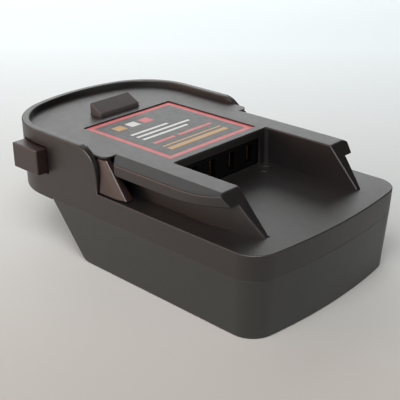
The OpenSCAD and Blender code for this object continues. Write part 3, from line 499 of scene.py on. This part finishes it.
def upper_radius(place):
    """Edge radius of the upper shell at a place."""
    if place.z < SEAM_Z + SEAM_NEAR:
        return SEAM_RADIUS
    if abs(place.x) > LIP_IN and place.y < LIP_END_Y and LIP_CREASE[0] < place.z < LIP_CREASE[1]:
        return LIP_RADIUS
    if place.y < PRONG_END_Y and place.z > DECK_Z + DECK_NEAR:
        return PRONG_RADIUS
    if place.z > PLATE_Z + PLATE_NEAR:
        return RIM_RADIUS
    if place.z > PLATE_Z - PLATE_NEAR:
        return PLATE_RADIUS
    return UPPER_RADIUS


def lower_radius(place):
    """Edge radius of the lower shell at a place."""
    return SEAM_RADIUS if abs(place.z - SEAM_Z) < SEAM_NEAR else LOWER_RADIUS


rounded("upper_shell", UPPER_PLASTIC, upper_radius)
rounded("lower_shell", LOWER_PLASTIC, lower_radius)
for side in ("left", "right"):
    rounded(side + "_latch", LATCH_PLASTIC, 0.5 * MM)
rounded("stop_pad", PAD_RUBBER, 0.45 * MM)
for block in ("tool_terminal_block", "battery_terminal_block"):
    rounded(block, BLOCK_PLASTIC, 0.25 * MM)
for line in ("positive", "negative", "sense", "data"):
    rounded("tool_contact_" + line, BRASS, 0.12 * MM)
    rounded("battery_blade_" + line, BRASS, 0.2 * MM)
for screws in ("shell_screws", "tool_block_screws", "battery_block_screws"):
    rounded(screws, SCREW_STEEL, 0.2 * MM)
rounded("circuit_board", BOARD, 0.1 * MM)
rounded("power_transistors", RESIN, 0.15 * MM)
rounded("controller_chip", RESIN, 0.15 * MM)


# Parts of two materials

def zoned(node, radius, first, second, is_second):
    """Rounded piece whose faces take the second material where is_second(centre) says so."""
    piece = dressed(node + "_finished", rounded_mesh(node, lambda place: radius), node, [first, second])
    for face in piece.data.polygons:
        face.material_index = int(is_second(face.center))
    shade_smooth(piece)
    return piece


FUSE_CAP = 1.4 * MM
fuse_low, fuse_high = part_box("input_fuse")
zoned("input_fuse", 0.12 * MM, CERAMIC, TIN,
      lambda centre: not fuse_low.y + FUSE_CAP < centre.y < fuse_high.y - FUSE_CAP)
CAN_LID = 0.5 * MM
can_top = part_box("smoothing_capacitor")[1].z
zoned("smoothing_capacitor", 0.3 * MM, SLEEVE, TIN,
      lambda centre: centre.z > can_top - CAN_LID)


# Leads
LEAD_JOIN = math.radians(40)     # triangles that turn less than this make one quad
LEAD_SKEW = math.radians(60)     # unless its corners are further than this from square
LEAD_END = math.radians(60)      # an edge that turns more than this is at a lead's end
LEAD_STEPS = 2


def lead(node):
    """Smooth round lead along the tube of a CAD node, with square ends."""
    shape = bmesh.new()
    shape.from_mesh(NODES[node].data)
    bmesh.ops.remove_doubles(shape, verts=shape.verts, dist=WELD)
    bmesh.ops.join_triangles(shape, faces=shape.faces, angle_face_threshold=LEAD_JOIN,
                             angle_shape_threshold=LEAD_SKEW)
    crease = shape.edges.layers.float.new("crease_edge")
    for edge in shape.edges:
        if edge.calc_face_angle(0.0) > LEAD_END:
            edge[crease] = 1.0
    mesh = mesh_from(shape, node)
    piece = dressed(node + "_lead", mesh, node, [LEADS[SLOTS[node]]])
    mesh.shade_smooth()
    subdivision = piece.modifiers.new("round", "SUBSURF")
    subdivision.levels = subdivision.render_levels = LEAD_STEPS
    return piece


for end in ("battery", "tool"):
    for line in ("positive", "negative", "sense", "data"):
        lead(f"wire_{end}_{line}")


# Latch springs
SPRING_WIRE_R = 0.4 * MM
SPRING_TURNS = 8
SPRING_RINGS = 28
SPRING_SIDES = 12


def coil(side):
    """Coil spring of one latch, wound along X from its seat to its button."""
    node = side + "_latch_spring"
    low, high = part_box(node)
    middle = (low + high) / 2
    radius = (high.z - low.z) / 2 - SPRING_WIRE_R
    inner = min((low.x, high.x), key=abs)
    outer = max((low.x, high.x), key=abs)
    sign = math.copysign(1, outer)
    start = inner + sign * SPRING_WIRE_R
    rise = outer - inner - 2 * sign * SPRING_WIRE_R
    shape = bmesh.new()
    rings = []
    count = SPRING_TURNS * SPRING_RINGS
    for number in range(count + 1):
        angle = math.tau * number / SPRING_RINGS
        out = Vector((0, math.cos(angle), math.sin(angle)))
        centre = Vector((start + rise * number / count, middle.y, middle.z)) + radius * out
        ring = []
        for corner in range(SPRING_SIDES):
            turn = math.tau * corner / SPRING_SIDES
            offset = math.cos(turn) * out + math.sin(turn) * Vector((1, 0, 0))
            ring.append(shape.verts.new(centre + SPRING_WIRE_R * offset))
        rings.append(ring)
    for first, second in zip(rings, rings[1:]):
        for corner in range(SPRING_SIDES):
            after = (corner + 1) % SPRING_SIDES
            shape.faces.new((first[corner], first[after], second[after], second[corner]))
    shape.faces.new(rings[0])
    shape.faces.new(rings[-1])
    bmesh.ops.recalc_face_normals(shape, faces=shape.faces)
    mesh = mesh_from(shape, node)
    piece = dressed(node + "_coil", mesh, node, [SPRING_STEEL])
    mesh.shade_smooth()
    mesh.set_sharp_from_angle(angle=SMOOTH_LIMIT)
    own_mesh(piece)
    return piece


for side in ("left", "right"):
    coil(side)


# Label: a film with a printed border and plain bars
FILM_T = 0.12 * MM
BORDER_GAP = 0.05 * MM
BORDER = 2.4 * MM
# Bars: distance from the left and front edge of the film, width and length, in millimetres, and ink
BARS = [
    (7.0, 6.5, 28.8, 2.2, "gold"), (7.0, 10.2, 28.8, 0.9, "gold"),
    (7.0, 14.5, 10.0, 1.6, "red"), (19.0, 14.5, 16.8, 1.6, "red"),
    (7.0, 20.0, 22.0, 1.3, "white"), (7.0, 23.2, 26.0, 1.3, "white"), (7.0, 26.4, 18.0, 1.3, "white"),
    (7.0, 33.5, 4.4, 4.4, "gold"), (13.4, 33.5, 4.4, 4.4, "white"), (19.8, 33.5, 4.4, 4.4, "red"),
]
INKS = {"field": 0, "red": 1, "gold": 2, "white": 3, "back": 4}


def label():
    """Printed film in the plate's recess, one closed mesh cut into cells along its bars."""
    low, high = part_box("label")
    bars = [(low.x + x * MM, low.y + y * MM, low.x + (x + w) * MM, low.y + (y + l) * MM, ink)
            for x, y, w, l, ink in BARS]
    outer = (low.x + BORDER_GAP, low.y + BORDER_GAP, high.x - BORDER_GAP, high.y - BORDER_GAP)
    inner = (outer[0] + BORDER, outer[1] + BORDER, outer[2] - BORDER, outer[3] - BORDER)
    frames = [(low.x, low.y, high.x, high.y), outer, inner] + [bar[:4] for bar in bars]
    xs = sorted({round(v, 7) for f in frames for v in (f[0], f[2])})
    ys = sorted({round(v, 7) for f in frames for v in (f[1], f[3])})

    def holds(box, x, y):
        return box[0] < x < box[2] and box[1] < y < box[3]

    def ink_at(x, y):
        for bar in bars:
            if holds(bar, x, y):
                return bar[4]
        return "red" if holds(outer, x, y) and not holds(inner, x, y) else "field"

    shape = bmesh.new()
    top = [[shape.verts.new((x, y, low.z + FILM_T)) for y in ys] for x in xs]
    for i in range(len(xs) - 1):
        for j in range(len(ys) - 1):
            face = shape.faces.new((top[i][j], top[i + 1][j], top[i + 1][j + 1], top[i][j + 1]))
            face.material_index = INKS[ink_at((xs[i] + xs[i + 1]) / 2, (ys[j] + ys[j + 1]) / 2)]
    rim = [e for e in shape.edges if e.is_boundary]
    sides = bmesh.ops.extrude_edge_only(shape, edges=rim)["geom"]
    for vertex in (v for v in sides if isinstance(v, bmesh.types.BMVert)):
        vertex.co.z = low.z
    for face in (f for f in sides if isinstance(f, bmesh.types.BMFace)):
        face.material_index = INKS["back"]
    back = bmesh.ops.contextual_create(shape, geom=[e for e in shape.edges if e.is_boundary])
    for face in back["faces"]:
        face.material_index = INKS["back"]
    bmesh.ops.recalc_face_normals(shape, faces=shape.faces)
    mesh = mesh_from(shape, "label")
    return dressed("label_film", mesh, "label", [FILM_FIELD, FILM_RED, FILM_GOLD, FILM_WHITE, FILM_BACK])


label()


# Stage

def make_floor():
    """Wide pale floor whose colour runs from near the camera to the far end as painted light, darker near
    and lighter far off, with a painted glow at its far end.
    """
    half = FLOOR_HALF
    mesh = bpy.data.meshes.new("floor")
    mesh.from_pydata([(-half, -half, 0), (half, -half, 0), (half, half, 0), (-half, half, 0)], [],
                     [(0, 1, 2, 3)])
    floor = bpy.data.objects.new("floor", mesh)
    SCENE.collection.objects.link(floor)
    shader = Shader("floor", Roughness=0.7)
    azimuth = math.radians(CAMERA_AZIMUTH - FLOOR_TURN)
    ahead = shader.nodes.new("ShaderNodeVectorMath")
    ahead.operation = "DOT_PRODUCT"
    ahead.inputs[1].default_value = (-math.sin(azimuth), math.cos(azimuth), 0)
    shader.links.new(shader.place, ahead.inputs[0])
    share = shader.spread(ahead.outputs["Value"], 0, 1, *FLOOR_RUN)
    # painted light: the base colour is darker near the camera and lighter far off
    shader.paint("Base Color", shader.mix(share, FLOOR_NEAR, FLOOR_FAR))
    # painted glow: the far floor emits its far colour for camera, glossy and transmission rays
    path = shader.nodes.new("ShaderNodeLightPath")
    seen = path.outputs["Is Camera Ray"]
    for ray in ("Is Glossy Ray", "Is Transmission Ray"):
        seen = shader.arithmetic("ADD", seen, path.outputs[ray])
    glow = shader.spread(share, 0, FLOOR_GLOW, 0, 1)
    shader.principled.inputs["Emission Color"].default_value = (*FLOOR_FAR, 1)
    shader.paint("Emission Strength", shader.arithmetic("MULTIPLY", glow, seen))
    mesh.materials.append(shader.material)


def make_world():
    """Even sky, dim for light and pale for the camera."""
    world = bpy.data.worlds.new("studio")
    world.use_nodes = True
    nodes, links = world.node_tree.nodes, world.node_tree.links
    background = nodes["Background"]
    background.inputs["Color"].default_value = (*SKY, 1)
    path = nodes.new("ShaderNodeLightPath")
    strength = nodes.new("ShaderNodeMapRange")
    strength.inputs["To Min"].default_value = SKY_STRENGTH
    strength.inputs["To Max"].default_value = 1.0
    links.new(path.outputs["Is Camera Ray"], strength.inputs["Value"])
    links.new(strength.outputs["Result"], background.inputs["Strength"])
    SCENE.world = world


def make_lights():
    """The soft lights, each facing the object's middle."""
    for name, (compass, height, width, length, brightness, tint) in LIGHTS.items():
        a, e = math.radians(compass), math.radians(height)
        away = Vector((math.cos(e) * math.cos(a), math.cos(e) * math.sin(a), math.sin(e)))
        lamp = bpy.data.lights.new(name, "AREA")
        lamp.shape = "RECTANGLE"
        lamp.size, lamp.size_y = width, length
        lamp.energy = brightness * math.pi * width * length
        lamp.color = tint
        light = bpy.data.objects.new(name, lamp)
        SCENE.collection.objects.link(light)
        light.location = LIGHT_TARGET + LIGHT_DISTANCE * away
        light.rotation_euler = away.to_track_quat("Z", "Y").to_euler()
        light.visible_camera = False


def make_camera():
    """Camera at the photograph's place and angle."""
    azimuth, elevation = math.radians(CAMERA_AZIMUTH), math.radians(CAMERA_ELEVATION)
    roll = math.radians(CAMERA_ROLL)
    right = Vector((math.cos(azimuth), math.sin(azimuth), 0))
    back = Vector((math.sin(azimuth) * math.cos(elevation),
                   -math.cos(azimuth) * math.cos(elevation), math.sin(elevation)))
    up = back.cross(right)
    axes = (math.cos(roll) * right + math.sin(roll) * up,
            math.cos(roll) * up - math.sin(roll) * right, back)
    data = bpy.data.cameras.new("camera")
    data.sensor_width = SENSOR
    data.lens = CAMERA_LENS
    camera = bpy.data.objects.new("camera", data)
    SCENE.collection.objects.link(camera)
    turn = Matrix(axes).transposed().to_4x4()
    camera.matrix_world = Matrix.Translation(Vector(CAMERA_PLACE) * MM) @ turn
    SCENE.camera = camera


make_floor()
make_world()
make_lights()
make_camera()
SCENE.view_settings.view_transform = "Standard"
